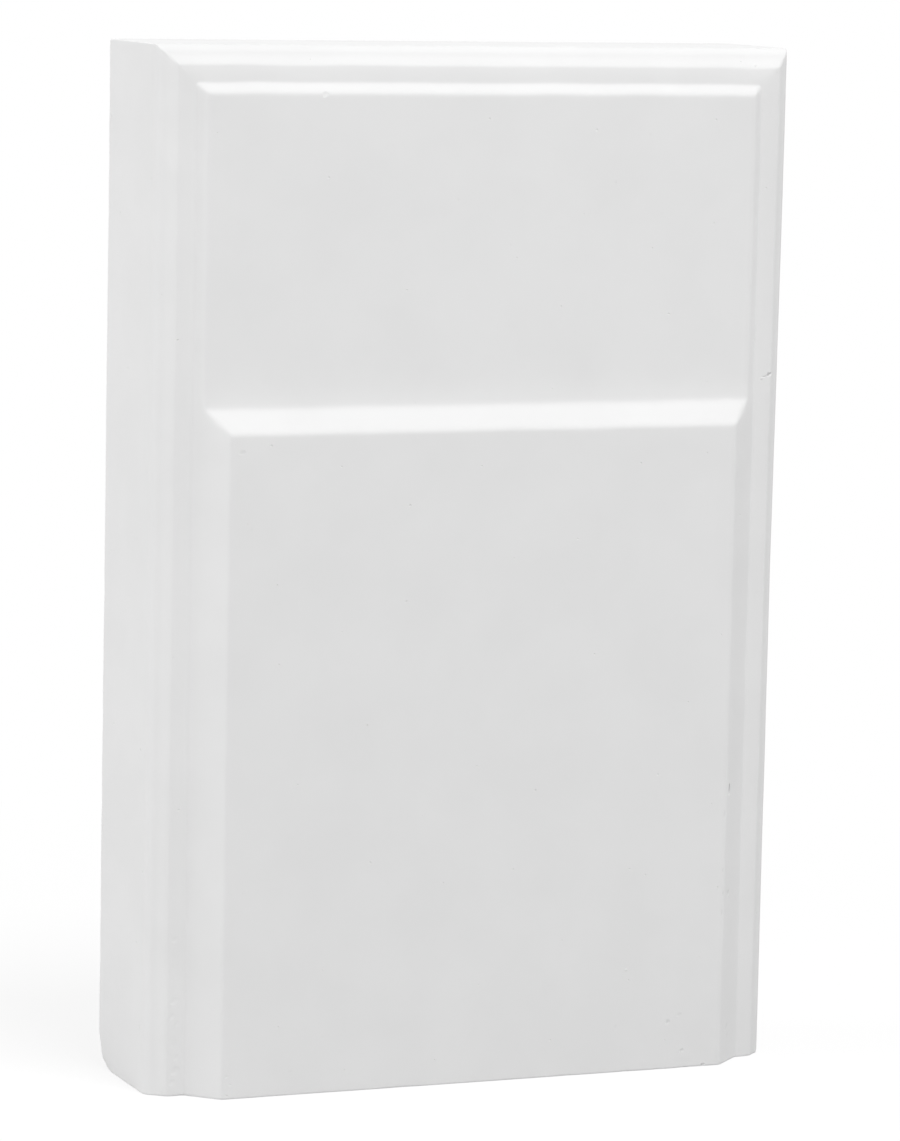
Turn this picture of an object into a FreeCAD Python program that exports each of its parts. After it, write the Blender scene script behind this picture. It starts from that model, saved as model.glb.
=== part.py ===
# Plinth block: one piece of cast plaster that stands on the floor at the foot of a door casing.
# A flat-backed slab carries an ogee edge up both sides and across the top, mitred at the corners.
# A narrow flat fillet frames two stepped panels: a low upper one, and a lower one that stands further out.
# Frame: +Z up, the panels face -Y, the flat back is at +Y, the origin is at the middle of the foot.
import FreeCAD, Part
import Sketcher
import math
import os

NODE = "plinth_block"

# Driving dimensions: alias, value (millimetres or degrees), what it measures.
SIZES = (
    ("width", 130.0, "across the block, between the flat sides"),
    ("height", 200.0, "from the floor to the flat top"),
    ("side_depth", 26.0, "flat part of a side, from the back to the ogee"),
    ("ogee_depth", 4.7, "ogee, measured from back to front"),
    ("ogee_inset", 3.75, "ogee, measured across the front"),
    ("shoulder_radius", 3.0, "rounded shoulder of the ogee, next to the side"),
    ("hollow_radius", 5.6, "hollow of the ogee, next to the fillet"),
    ("fillet_width", 3.3, "flat strip between the ogee and the panels"),
    ("bevel_angle", 43.0, "slope of the panels' bevels, from the plane of the front"),
    ("upper_rise", 1.65, "upper panel, in front of the fillet"),
    ("lower_rise", 5.5, "lower panel, in front of the fillet"),
    ("lower_height", 131.8, "from the floor to where the lower panel leaves the upper one"),
    ("weathering", 4.7, "height of the bevel along the top of the lower panel"),
    ("arris_radius", 0.5, "softened arrises of the ogee, the bevels and the panels"),
    ("waste_margin", 2.0, "how far the waste of a cut reaches outside the block"),
)

# Depths in front of the back face, and insets from the sides and the top.
FILLET_DEPTH = "(sizes.side_depth + sizes.ogee_depth)"
UPPER_DEPTH = f"({FILLET_DEPTH} + sizes.upper_rise)"
LOWER_DEPTH = f"({FILLET_DEPTH} + sizes.lower_rise)"
PANEL_INSET = "(sizes.ogee_inset + sizes.fillet_width)"
UPPER_INSET = f"({PANEL_INSET} + sizes.upper_rise / tan(sizes.bevel_angle))"
LOWER_INSET = f"({PANEL_INSET} + sizes.lower_rise / tan(sizes.bevel_angle))"
LOWER_FACE_TOP = "(sizes.lower_height - sizes.weathering)"
HALF_WIDTH = "(sizes.width / 2)"

# Numbers that stand for a sketch's origin, its two axes and the points of a line or an arc.
ORIGIN, ACROSS_AXIS, UP_AXIS = -1, -1, -2
START, END, CENTRE = 1, 2, 3

# Two lengths that differ by less than this are the same place.
TOLERANCE = 1e-6


def make_sizes(doc):
    """The sheet of driving dimensions, one row each: what it measures, then its value under its alias."""
    sheet = doc.addObject("Spreadsheet::Sheet", "sizes")
    for row, (alias, value, meaning) in enumerate(SIZES, start=1):
        sheet.set(f"A{row}", meaning)
        sheet.set(f"B{row}", str(value))
        sheet.setAlias(f"B{row}", alias)
    doc.recompute()
    return sheet


def measure(sheet, expression):
    """The present value of an expression of the sheet's sizes."""
    return float(sheet.evalExpression(expression))


def new_sketch(body, name, role):
    """An empty sketch on one of the body's own origin planes."""
    plane = next(p for p in body.Origin.OriginFeatures if p.Role == role)
    sketch = body.newObject("Sketcher::SketchObject", name)
    sketch.AttachmentSupport = [(plane, "")]
    sketch.MapMode = "FlatFace"
    return sketch


def bind(sketch, name, constraint, expression):
    """Adds a dimension to a sketch and binds it to the sheet."""
    sketch.renameConstraint(sketch.addConstraint(constraint), name)
    sketch.setExpression(f"Constraints.{name}", expression)


def place(sketch, name, line, end, point, across, up):
    """Ties a line's end to the sketch's origin by two sizes, or to an axis where a size is nought."""
    ties = (("DistanceX", UP_AXIS, point.x, across), ("DistanceY", ACROSS_AXIS, point.y, up))
    for kind, axis, value, size in ties:
        label = f"{name}_{kind[-1].lower()}"
        if abs(value) < TOLERANCE:
            sketch.addConstraint(Sketcher.Constraint("PointOnObject", line, end, axis))
        elif value > 0:
            bind(sketch, label, Sketcher.Constraint(kind, ORIGIN, START, line, end, value), size)
        else:
            bind(sketch, label, Sketcher.Constraint(kind, line, end, ORIGIN, START, -value), f"-({size})")


def draw_lines(sheet, sketch, corners, closed=True):
    """Lines from corner to corner. Each corner is two expressions: across and up from the sketch's origin."""
    points = [FreeCAD.Vector(measure(sheet, across), measure(sheet, up), 0) for across, up in corners]
    ends = points[1:] + points[:1] if closed else points[1:]
    for start, end in zip(points, ends):
        sketch.addGeometry(Part.LineSegment(start, end), False)
    count = len(ends)
    for k in range(count if closed else count - 1):
        sketch.addConstraint(Sketcher.Constraint("Coincident", k, END, (k + 1) % count, START))
    for k, (across, up) in enumerate(corners):
        line, end = (k, START) if k < count else (k - 1, END)
        place(sketch, f"corner{k}", line, end, points[k], across, up)


def bearing(vector):
    """Angle of a vector in the sketch, in radians."""
    return math.atan2(vector.y, vector.x)


def draw_ogee(sheet, sketch):
    """The ogee at the left front edge, in plan: a round shoulder, then a hollow out to the fillet.

    Returns the two arcs' numbers; the shoulder starts on the side and the hollow starts on the fillet.
    """
    shoulder_r = measure(sheet, "sizes.shoulder_radius")
    hollow_r = measure(sheet, "sizes.hollow_radius")
    start = FreeCAD.Vector(-measure(sheet, HALF_WIDTH), -measure(sheet, "sizes.side_depth"), 0)
    end = start + FreeCAD.Vector(measure(sheet, "sizes.ogee_inset"), -measure(sheet, "sizes.ogee_depth"), 0)
    # The hollow's centre lies its own radius from the ogee's end, and both radii from the shoulder's centre.
    shoulder_centre = start + FreeCAD.Vector(shoulder_r, 0, 0)
    span = end - shoulder_centre
    both = shoulder_r + hollow_r
    along = (span.Length ** 2 + both ** 2 - hollow_r ** 2) / (2 * span.Length)
    aside = math.sqrt(both ** 2 - along ** 2)
    ahead = FreeCAD.Vector(span).normalize()
    hollow_centre = shoulder_centre + ahead * along + FreeCAD.Vector(ahead.y, -ahead.x, 0) * aside
    meeting = bearing(shoulder_centre - hollow_centre)
    up = FreeCAD.Vector(0, 0, 1)
    shoulder_circle = Part.Circle(shoulder_centre, up, shoulder_r)
    hollow_circle = Part.Circle(hollow_centre, up, hollow_r)
    shoulder = sketch.addGeometry(Part.ArcOfCircle(shoulder_circle, math.pi, math.pi + meeting), False)
    hollow = sketch.addGeometry(Part.ArcOfCircle(hollow_circle, bearing(end - hollow_centre), meeting), False)
    sketch.addConstraint(Sketcher.Constraint("Tangent", shoulder, END, hollow, END))
    sketch.addConstraint(Sketcher.Constraint("Horizontal", shoulder, CENTRE, shoulder, START))
    bind(sketch, "shoulder", Sketcher.Constraint("Radius", shoulder, shoulder_r), "sizes.shoulder_radius")
    bind(sketch, "hollow", Sketcher.Constraint("Radius", hollow, hollow_r), "sizes.hollow_radius")
    return shoulder, hollow


def ogee_waste(sheet, body):
    """Section of what the ogee takes off the slab's left front edge, closed outside the slab."""
    sketch = new_sketch(body, "ogee_waste", "XY_Plane")
    side, outside = f"-{HALF_WIDTH}", f"-{HALF_WIDTH} - sizes.waste_margin"
    fillet_edge = f"sizes.ogee_inset - {HALF_WIDTH}"
    in_front = f"-{FILLET_DEPTH} - sizes.waste_margin"
    corners = [
        (fillet_edge, f"-{FILLET_DEPTH}"),
        (fillet_edge, in_front),
        (outside, in_front),
        (outside, "-sizes.side_depth"),
        (side, "-sizes.side_depth"),
    ]
    draw_lines(sheet, sketch, corners, closed=False)
    first, last = 0, len(corners) - 2
    shoulder, hollow = draw_ogee(sheet, sketch)
    sketch.addConstraint(Sketcher.Constraint("Coincident", hollow, START, first, START))
    sketch.addConstraint(Sketcher.Constraint("Coincident", shoulder, START, last, END))
    return sketch


def stand_slab(sheet, body):
    """The flat-backed slab, as deep as the fillet."""
    outline = new_sketch(body, "slab_outline", "XZ_Plane")
    draw_lines(sheet, outline, [
        (f"-{HALF_WIDTH}", "0"),
        (f"-{HALF_WIDTH}", "sizes.height"),
        (HALF_WIDTH, "sizes.height"),
        (HALF_WIDTH, "0"),
    ])
    slab = body.newObject("PartDesign::Pad", "slab")
    slab.Profile = outline
    slab.setExpression("Length", FILLET_DEPTH)


def run_ogee(sheet, body):
    """The ogee, run up the left side, across the top and down the right side, mitred at both corners."""
    path = new_sketch(body, "ogee_path", "XZ_Plane")
    draw_lines(sheet, path, [
        (f"-{HALF_WIDTH}", "0"),
        (f"-{HALF_WIDTH}", "sizes.height"),
        (HALF_WIDTH, "sizes.height"),
        (HALF_WIDTH, "0"),
    ], closed=False)
    ogee = body.newObject("PartDesign::SubtractivePipe", "ogee")
    ogee.Profile = ogee_waste(sheet, body)
    ogee.Spine = path
    ogee.Transition = "Right corner"


def raise_panels(sheet, body):
    """Both panels in one plan, as their side bevels are one plane, up to the fillet at the top."""
    plan = new_sketch(body, "panel_plan", "XY_Plane")
    foot, face = f"({HALF_WIDTH} - {PANEL_INSET})", f"({HALF_WIDTH} - {LOWER_INSET})"
    draw_lines(sheet, plan, [
        (f"-{foot}", f"-{FILLET_DEPTH}"),
        (foot, f"-{FILLET_DEPTH}"),
        (face, f"-{LOWER_DEPTH}"),
        (f"-{face}", f"-{LOWER_DEPTH}"),
    ])
    panels = body.newObject("PartDesign::Pad", "panels")
    panels.Profile = plan
    panels.setExpression("Length", f"sizes.height - {PANEL_INSET}")


def step_panels(sheet, body):
    """Cuts the upper panel back from the lower one, with a bevel along the top of each."""
    waste = new_sketch(body, "step_waste", "YZ_Plane")
    in_front = f"-{LOWER_DEPTH} - sizes.waste_margin"
    fillet_top = f"sizes.height - {PANEL_INSET}"
    draw_lines(sheet, waste, [
        (f"-{LOWER_DEPTH}", LOWER_FACE_TOP),
        (f"-{UPPER_DEPTH}", "sizes.lower_height"),
        (f"-{UPPER_DEPTH}", f"sizes.height - {UPPER_INSET}"),
        (f"-{FILLET_DEPTH}", fillet_top),
        (in_front, fillet_top),
        (in_front, LOWER_FACE_TOP),
    ])
    step = body.newObject("PartDesign::Pocket", "panel_step")
    step.Profile = waste
    step.SideType = "Symmetric"
    step.setExpression("Length", "sizes.width")


def find_arrises(sheet, shape):
    """Names of the outer edges that handling softens: of the ogee, the bevels and the panels' faces."""
    half, top = measure(sheet, HALF_WIDTH), measure(sheet, "sizes.height")
    fillet, upper, lower = (measure(sheet, d) for d in (FILLET_DEPTH, UPPER_DEPTH, LOWER_DEPTH))
    ogee_in = measure(sheet, "sizes.ogee_inset")
    upper_in = measure(sheet, UPPER_INSET)

    def same(a, b):
        return abs(a - b) < TOLERANCE

    def inset(point):
        return min(half - abs(point.x), top - point.z)

    def is_arris(edge):
        ends = [v.Point for v in edge.Vertexes]
        points = ends + [edge.valueAt((edge.FirstParameter + edge.LastParameter) / 2)]
        if all(same(p.z, 0) for p in points):
            return False
        if all(same(-p.y, lower) for p in points):
            return True
        for depth, distance in ((fillet, ogee_in), (upper, upper_in)):
            if all(same(-p.y, depth) and same(inset(p), distance) for p in points):
                return True
        depths = sorted(-p.y for p in ends)
        return depths[0] > fillet - TOLERANCE and not same(depths[0], depths[1])

    return [f"Edge{k}" for k, edge in enumerate(shape.Edges, start=1) if is_arris(edge)]


def soften_arrises(doc, sheet, body):
    """A small round on every arris, as the mould leaves it."""
    doc.recompute()
    base = body.Tip
    arris = body.newObject("PartDesign::Fillet", "arris")
    arris.Base = (base, find_arrises(sheet, base.Shape))
    arris.setExpression("Radius", "sizes.arris_radius")


def check(doc, body):
    """Stops if a feature failed or did nothing, or if the block isn't one sound solid."""
    failed = [o.Name for o in doc.Objects if "Invalid" in o.State or "Error" in o.State]
    if failed:
        raise RuntimeError(f"features failed: {failed}")
    features = [o for o in body.Group if o.isDerivedFrom("PartDesign::Feature")]
    for before, after in zip(features, features[1:]):
        gained = after.Shape.Volume - before.Shape.Volume
        adds = after.isDerivedFrom("PartDesign::Pad")
        if abs(gained) < TOLERANCE or (gained > 0) != adds:
            raise RuntimeError(f"{after.Name} doesn't change the block as it should")
    if body.Shape.isNull() or not body.Shape.isValid() or len(body.Shape.Solids) != 1:
        raise RuntimeError("the block isn't one valid solid")


def main():
    doc = FreeCAD.newDocument(NODE)
    sheet = make_sizes(doc)
    body = doc.addObject("PartDesign::Body", NODE)
    body.Label = NODE
    stand_slab(sheet, body)
    run_ogee(sheet, body)
    raise_panels(sheet, body)
    step_panels(sheet, body)
    soften_arrises(doc, sheet, body)
    body.setExpression("Placement.Base.y", f"{LOWER_DEPTH} / 2")
    doc.recompute()
    check(doc, body)
    os.makedirs("parts", exist_ok=True)
    body.Shape.exportStep(f"parts/{body.Label}.step")


main()
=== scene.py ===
"""A plinth block cast in gypsum plaster, dressed round its CAD solid and set in a plain studio."""

import math

import bpy
from bpy.props import FloatProperty, FloatVectorProperty, IntProperty, PointerProperty
from mathutils import Matrix, Vector


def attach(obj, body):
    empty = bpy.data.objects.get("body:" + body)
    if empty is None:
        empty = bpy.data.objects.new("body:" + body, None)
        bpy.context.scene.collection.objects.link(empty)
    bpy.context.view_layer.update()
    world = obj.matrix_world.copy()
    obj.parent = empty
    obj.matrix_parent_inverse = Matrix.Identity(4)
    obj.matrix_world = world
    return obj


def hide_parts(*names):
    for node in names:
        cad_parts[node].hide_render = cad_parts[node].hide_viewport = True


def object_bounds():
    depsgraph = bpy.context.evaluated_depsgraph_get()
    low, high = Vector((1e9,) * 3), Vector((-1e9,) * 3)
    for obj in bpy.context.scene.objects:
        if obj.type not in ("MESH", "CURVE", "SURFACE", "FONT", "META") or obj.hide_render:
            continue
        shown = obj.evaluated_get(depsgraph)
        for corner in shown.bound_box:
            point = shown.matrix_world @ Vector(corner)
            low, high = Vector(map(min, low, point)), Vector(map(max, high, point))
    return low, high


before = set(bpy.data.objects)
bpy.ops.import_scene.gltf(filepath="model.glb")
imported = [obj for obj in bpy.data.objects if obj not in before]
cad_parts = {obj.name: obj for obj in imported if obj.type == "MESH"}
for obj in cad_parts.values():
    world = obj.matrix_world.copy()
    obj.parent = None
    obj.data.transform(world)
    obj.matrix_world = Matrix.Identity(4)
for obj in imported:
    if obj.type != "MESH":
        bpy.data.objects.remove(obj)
CAD_LOW, CAD_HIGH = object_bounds()

bl_info = {
    "name": "Plinth Block",
    "version": (1, 0, 0),
    "blender": (4, 5, 0),
    "location": "View3D > Sidebar > Plinth Block",
    "description": "Casts a plaster plinth block and sets it in a plain studio",
    "category": "Object",
}

MM = 0.001
NODE = "plinth_block"
BODY = "root"
PIECE = "plinth_block_cast"
MOST_TRIANGLES = 200000

# Sizes that others are worked out from, in millimetres
CAD_SIZE = (CAD_HIGH - CAD_LOW) / MM
SIDE_DEPTH = 26.0
OGEE_DEPTH = 4.7

# Kinds of node that the trees use most
MATH = "ShaderNodeMath"
VECTOR = "ShaderNodeVectorMath"
MIX = "ShaderNodeMix"
RANGE = "ShaderNodeMapRange"
CLAMP = "ShaderNodeClamp"
NOISE = "ShaderNodeTexNoise"
JOIN = "ShaderNodeCombineXYZ"
SPLIT = "ShaderNodeSeparateXYZ"
MOVE = "GeometryNodeSetPosition"
BOOLEAN = "GeometryNodeMeshBoolean"
SHADE = "GeometryNodeSetShadeSmooth"
STORE = "GeometryNodeStoreNamedAttribute"
RECALL = "GeometryNodeInputNamedAttribute"
ON_POINTS = "GeometryNodeInstanceOnPoints"

# Attributes: dust and painted shade on the block's points, marks on its faces, and what each mark's
# point carries
DUST_AND_SHADE = "dust"
MARK = "mark"
BALL_SIZE = "size"
INWARD = "inward"

# Blank's grid lines, in metres: closest at the section's turns, widest on the plain faces
FINE_LINE = 0.12 * MM
WIDE_LINE = 2.4 * MM
LINE_GROWTH = 0.3

# Noise lies round its middle and seldom strays far, so it is stretched to swing the whole amount
NOISE_MIDDLE = 0.5
FULL_SWING = 4.0
SWING_DETAIL = 1.5

# Wavelengths of the cast's unevenness, in metres
WAVER_LENGTH = 9.0 * MM
RIPPLE_LENGTH = 30.0 * MM
GRAIN_LENGTH = 3.0 * MM
WEAR_LENGTH = 6.0 * MM
FOOT_LENGTH = 2 * WEAR_LENGTH

# Strokes of the straightedge on the back: how wide each is, in metres, how many widths long, and
# how far round the back's edges it fades out, in metres
STROKE_WIDTH = 7.0 * MM
STROKE_LENGTH = 12.0
STROKE_FADE = 1.0 * MM

# Heights between which the right side falls in, in metres
LEAN_FOOT = 80.0 * MM
LEAN_HEAD = 190.0 * MM

# A front edge this far out, in metres, is clear of the block and rounds nothing
CLEAR_OF_BLOCK = 1.0

# Edges that turn by more than this are creased, and so is a mark's rim: it lies between a mark's
# face, of value 1, and a plain one, of value 0, and has their mean
SHARP_ANGLE = math.radians(38.0)
RIM_VALUE = 0.5
RIM_MARGIN = 0.4

# Marks are made with a ball: how often it is divided, and how closely its unevenness is set
BALL_DIVISIONS = 2
BALL_UNEVENNESS = 1.3

# A pit, a chip or a nib is the cap of such a ball, whose centre stands off the face by this share
# of the ball's depth
CAP_LEAN = 0.7
CAP_RIM = math.sqrt(1.0 - CAP_LEAN**2)

# How far in front of the block the marks' points start, and how far they look for it, in metres
POINT_STANDOFF = 10 * MM
POINT_SIGHT = 1.0

# Air holes to a square metre before the gap thins them, and the smallest as a share of the largest
PINHOLE_DENSITY = 6000.0
PINHOLE_LEAST = 0.35

# Marks on the front: across from the middle and up from the foot, then half their width, their
# depth and half their height, in millimetres
PITS = (
    # Nick at the right fillet's outer edge, and its tail
    (61.6, 136.4, 0.95, 0.45, 0.52),
    (60.4, 136.0, 0.70, 0.12, 0.22),
    # Air holes
    (-60.9, 144.9, 0.22, 0.16, 0.20),
    (33.9, 183.4, 0.45, 0.02, 0.40),
    (26.8, 174.2, 0.40, 0.03, 0.40),
    (-5.7, 171.0, 0.35, 0.03, 0.35),
    (5.2, 162.4, 0.35, 0.02, 0.35),
    (-49.8, 124.0, 0.90, 0.05, 0.55),
    (-15.8, 113.2, 0.25, 0.12, 0.25),
    (-47.8, 109.4, 0.50, 0.02, 0.50),
    (11.3, 57.0, 0.30, 0.11, 0.30),
    (53.0, 54.9, 0.45, 1.10, 1.50),
    (35.0, 39.1, 0.25, 0.08, 0.22),
    (53.5, 34.1, 0.60, 0.13, 0.90),
    (29.4, 9.1, 0.55, 0.03, 0.55),
    (40.6, 9.4, 0.50, 0.10, 0.65),
    (43.0, 10.7, 0.80, 0.05, 0.50),
    (43.7, 3.4, 0.55, 0.10, 0.55),
    (-31.9, 11.0, 0.40, 0.02, 0.35),
    (-38.3, 4.6, 0.55, 0.02, 0.40),
    # Ragged right edge of the lower panel
    (51.8, 50.4, 0.75, 0.05, 1.20),
    (51.7, 39.2, 0.65, 0.05, 0.80),
    (51.9, 34.4, 0.60, 0.06, 0.80),
    (51.7, 30.6, 0.75, 0.05, 1.40),
    # Stains at the foot of the right bevel
    (54.3, 7.2, 0.80, 0.05, 0.90),
    (54.6, 5.4, 0.70, 0.03, 0.80),
)
CHIPS = (
    # Blots down the left fillet, where the mould was fouled
    (-59.8, 30.4, 1.00, 0.06, 0.80),
    (-60.2, 24.6, 0.70, 0.03, 0.90),
    (-59.9, 18.4, 1.10, 0.06, 0.90),
    (-60.4, 15.4, 0.70, 0.05, 0.80),
    (-59.4, 14.0, 0.60, 0.04, 0.70),
    (-60.0, 10.2, 0.80, 0.05, 1.20),
    (-59.4, 7.4, 0.70, 0.04, 0.80),
    (-59.6, 4.8, 1.20, 0.08, 1.10),
    (-60.2, 2.6, 0.80, 0.06, 0.80),
    # Ragged left edge of the lower panel
    (-52.4, 31.0, 0.30, 0.04, 0.50),
    (-52.3, 26.0, 0.35, 0.05, 0.80),
    (-52.1, 22.4, 0.30, 0.05, 1.60),
    (-52.1, 16.2, 0.35, 0.06, 1.30),
    (-51.2, 4.4, 0.40, 0.07, 0.35),
    (-50.4, 2.8, 0.35, 0.07, 0.30),
    # Dent in the upper bevel's arris
    (-32.9, 191.0, 0.75, 0.20, 1.60),
    # Bite out of the right edge
    (64.15, 24.2, 0.50, 0.30, 0.60),
    # Chips out of the foot
    (-61.5, 0.1, 0.80, 0.06, 0.18),
    (38.5, 0.1, 1.40, 0.14, 0.20),
    (44.5, 0.1, 1.00, 0.14, 0.22),
    (48.4, 0.3, 0.55, 0.40, 0.38),
    (52.6, 0.1, 1.40, 0.08, 0.20),
)
NIBS = (
    # Specks at the top right corner, beside the nick and near the foot
    (61.4, 195.6, 0.35, 0.02, 0.22),
    (56.8, 196.8, 0.45, 0.15, 0.30),
    (59.7, 135.7, 0.40, 0.08, 0.25),
    (31.3, 20.4, 0.50, 0.10, 0.30),
)

# Plaster: the IOR of gypsum, the roughness of a dry cast face, how wide its faint clouds are, and
# the part of the noise that makes them
PLASTER_IOR = 1.52
PLASTER_ROUGHNESS = 0.88
CLOUD_LENGTH = 18 * MM
CLOUD_DETAIL = 3.0
CLOUD_START = 0.38
CLOUD_END = 0.62

# Gypsum crystals are finer than a hair, so the grain is drawn at 0.4 mm to show at all
CRYSTAL_LENGTH = 0.4 * MM
CRYSTAL_DETAIL = 2.0
CRYSTAL_HEIGHT = 0.02 * MM
CRYSTAL_STRENGTH = 0.1

# Floor: half its width, then the distances between which it fades to plain white, in metres, and
# the share of white that it starts from
FLOOR_REACH = 1.5
FADE_START = 0.08
FADE_END = 0.3
FADE_LEAST = 0.8

# Lamps: name, place from the block's middle and width, in metres, and the setting for the power
LAMPS = (
    ("Top lamp", (0.15, -0.55, 1.2), 0.5, "top_power"),
    ("Side lamp", (-1.1, 0.15, 0.1), 0.9, "side_power"),
    ("Front lamp", (0.0, -1.2, 0.3), 0.8, "front_power"),
)

# Nearest that the camera sees, in metres
NEAREST_SEEN = 0.05


def linear(code):
    """The linear colour of an sRGB hex code."""
    shares = [int(code[i : i + 2], 16) / 255 for i in (0, 2, 4)]
    return [s / 12.92 if s <= 0.04045 else ((s + 0.055) / 1.055) ** 2.4 for s in shares]


def length(name, description, millimetres):
    """A length property whose default is given in millimetres."""
    return FloatProperty(
        name=name, description=description, default=millimetres * MM, unit="LENGTH", precision=5
    )


def angle(name, description, degrees):
    """An angle property whose default is given in degrees."""
    return FloatProperty(
        name=name, description=description, default=math.radians(degrees), subtype="ANGLE"
    )


def power(name, description, watts):
    """A lamp's power property, whose default is given in watts."""
    return FloatProperty(name=name, description=description, default=watts, unit="POWER")


def colour(name, description, code):
    """A colour property whose default is an sRGB hex code."""
    return FloatVectorProperty(
        name=name, description=description, default=linear(code), subtype="COLOR", min=0.0, max=1.0
    )


class BlockSizes(bpy.types.PropertyGroup):
    """The block's sizes, which are the CAD solid's own."""

    width: length("Width", "Across the front", CAD_SIZE.x)
    height: length("Height", "From the foot to the top", CAD_SIZE.z)
    back: length("Back", "Place of the flat back along Y", CAD_HIGH.y / MM)
    side_depth: length("Side Depth", "From the back to the ogee's start", SIDE_DEPTH)
    ogee_depth: length("Ogee Depth", "From the ogee's start out to the fillet", OGEE_DEPTH)
    ogee_inset: length("Ogee Inset", "From the side in to the fillet", 3.75)
    shoulder_radius: length("Shoulder Radius", "Of the ogee's round shoulder", 3.0)
    hollow_radius: length("Hollow Radius", "Of the ogee's hollow", 5.6)
    fillet_width: length("Fillet Width", "Of the flat band inside the ogee", 3.3)
    bevel_angle: angle("Bevel Angle", "Of the panels' bevels to the front", 43.0)
    upper_rise: length("Upper Rise", "From the fillet out to the upper panel", 1.65)
    lower_rise: length(
        "Lower Rise", "From the fillet out to the lower panel", CAD_SIZE.y - SIDE_DEPTH - OGEE_DEPTH
    )
    lower_height: length("Lower Height", "From the foot to the head of the lower panel", 131.8)
    weathering: length("Weathering", "Height of the lower panel's sloping top", 4.7)


class CastWear(bpy.types.PropertyGroup):
    """How far the casting departs from its drawing."""

    arris: length("Arris", "Softness of the bevels' arrises", 0.8)
    fillet_edge: length("Fillet Edge", "Softness of the arris between ogee and fillet", 1.8)
    fillet_spread: length("Fillet Spread", "How far the fillet spreads over the ogee", 0.35)
    fillet_fall: length("Fillet Fall", "How far the fillet rounds off towards that arris", 0.28)
    right_spread: length("Right Spread", "How much further it spreads at the top right", 0.65)
    right_lean: length("Right Lean", "How far the right side falls in towards the foot", 0.55)
    quirk: length("Quirk", "Softness of the corner between fillet and bevel", 0.5)
    cove: length("Cove", "Softness of the corner above the lower panel", 0.7)
    sweep: length("Sweep", "How far the upper panel sweeps out to meet that corner", 0.25)
    sweep_reach: length("Sweep Reach", "How far up that sweep begins", 5.0)
    waver: length("Waver", "How far an arris wanders from its line", 0.15)
    ripple: length("Ripple", "How far a face departs from flat", 0.04)
    grain: length("Grain", "Height of the fine unevenness", 0.008)
    strike: length("Strike", "Height of the strokes on the struck-off back", 0.1)
    edge_round: length("Edge Round", "Radius of the square edges", 0.2)
    edge_wear: length("Edge Wear", "What wear adds to that radius", 0.25)
    foot_waver: length("Foot Waver", "How far the cut foot is uneven", 0.08)
    back_corner: length("Back Corner", "Radius of the worn corner at the back of the foot", 3.4)
    back_corner_reach: length("Back Corner Reach", "How far that wear spreads", 8.0)
    front_corner: length("Front Corner", "Radius of the worn corner at the front of the foot", 1.2)
    front_corner_reach: length("Front Corner Reach", "How far that wear spreads", 4.0)
    pinhole: length("Pinhole", "Radius of the largest air hole", 0.28)
    pinhole_depth: length("Pinhole Depth", "Of the deepest air hole", 0.1)
    pinhole_gap: length("Pinhole Gap", "Least distance between two air holes", 13.0)
    # Dust and painted shade: a pit this deep gets the full darker grey
    dust_and_shade_depth: length("Dust Depth", "Depth of a pit that dust covers all over", 0.1)
    seed: IntProperty(name="Seed", description="Of the air holes' places and sizes", default=11)


class PlasterFinish(bpy.types.PropertyGroup):
    """The plaster's colours."""

    body: colour("Body", "Dry white plaster", "E9E9E9")
    shade: colour("Shade", "Where the plaster dried denser", "E7E7E7")
    # Dust and painted shade: the darker grey that pits take on, the more the deeper they are
    dust: colour("Dust", "Dust that lies in the pits", "DADADA")


class StudioSetting(bpy.types.PropertyGroup):
    """The floor, the lamps and the camera."""

    floor: colour("Floor", "Pale paper floor, as it lights the block", "C8C8C8")
    backdrop: colour("Backdrop", "Floor and world as the camera sees them", "FFFFFF")
    ambient: FloatProperty(name="Ambient", description="Light from all round", default=0.57)
    top_power: power("Top Power", "Of the lamp overhead", 8.7)
    side_power: power("Side Power", "Of the lamp at the left", 6.35)
    front_power: power("Front Power", "Of the lamp in front", 1.4)
    azimuth: angle("Azimuth", "Camera's turn to the block's left", 21.715)
    elevation: angle("Elevation", "Camera's height above level", 7.5)
    roll: angle("Roll", "Camera's tilt", -1.141)
    distance: length("Distance", "From the camera to the point that it looks at", 1038.9)
    lens: FloatProperty(
        name="Lens", description="Camera's focal length", default=165.5, unit="CAMERA"
    )
    aim: FloatVectorProperty(
        name="Aim",
        description="Point that the camera looks at",
        default=(0.00588, 0.01516, 0.09575),
        subtype="TRANSLATION",
        unit="LENGTH",
    )


def add_node(tree, kind, values=(), **settings):
    """Adds a node, sets its properties and fills its inputs, in order or by name.

    A node or an output given as a value is linked, a list of them goes to a socket that takes
    several, None leaves the socket alone, and any other value is set.
    """
    node = tree.nodes.new(kind)
    for name, setting in settings.items():
        setattr(node, name, setting)
    sockets = [socket for socket in node.inputs if socket.enabled]
    if isinstance(values, dict):
        named = {socket.name: socket for socket in sockets}
        pairs = [(named[name], value) for name, value in values.items()]
    else:
        pairs = list(zip(sockets, values))
    for socket, given in pairs:
        for value in given if isinstance(given, list) else [given]:
            if isinstance(value, bpy.types.Node):
                value = next(output for output in value.outputs if output.enabled)
            if isinstance(value, bpy.types.NodeSocket):
                tree.links.new(value, socket)
            elif value is not None:
                socket.default_value = value
    return node


def open_tree(name, inputs, outputs):
    """A new geometry tree, with its inputs by name and its output node."""
    tree = bpy.data.node_groups.new(name, "GeometryNodeTree")
    for label, kind in inputs.items():
        tree.interface.new_socket(label, in_out="INPUT", socket_type=kind)
    for label, kind in outputs.items():
        tree.interface.new_socket(label, in_out="OUTPUT", socket_type=kind)
    given = add_node(tree, "NodeGroupInput").outputs
    return tree, {socket.name: socket for socket in given}, add_node(tree, "NodeGroupOutput")


def bare_nodes(owner):
    """The node tree of a material or a world, emptied."""
    owner.use_nodes = True
    owner.node_tree.nodes.clear()
    return owner.node_tree


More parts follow.
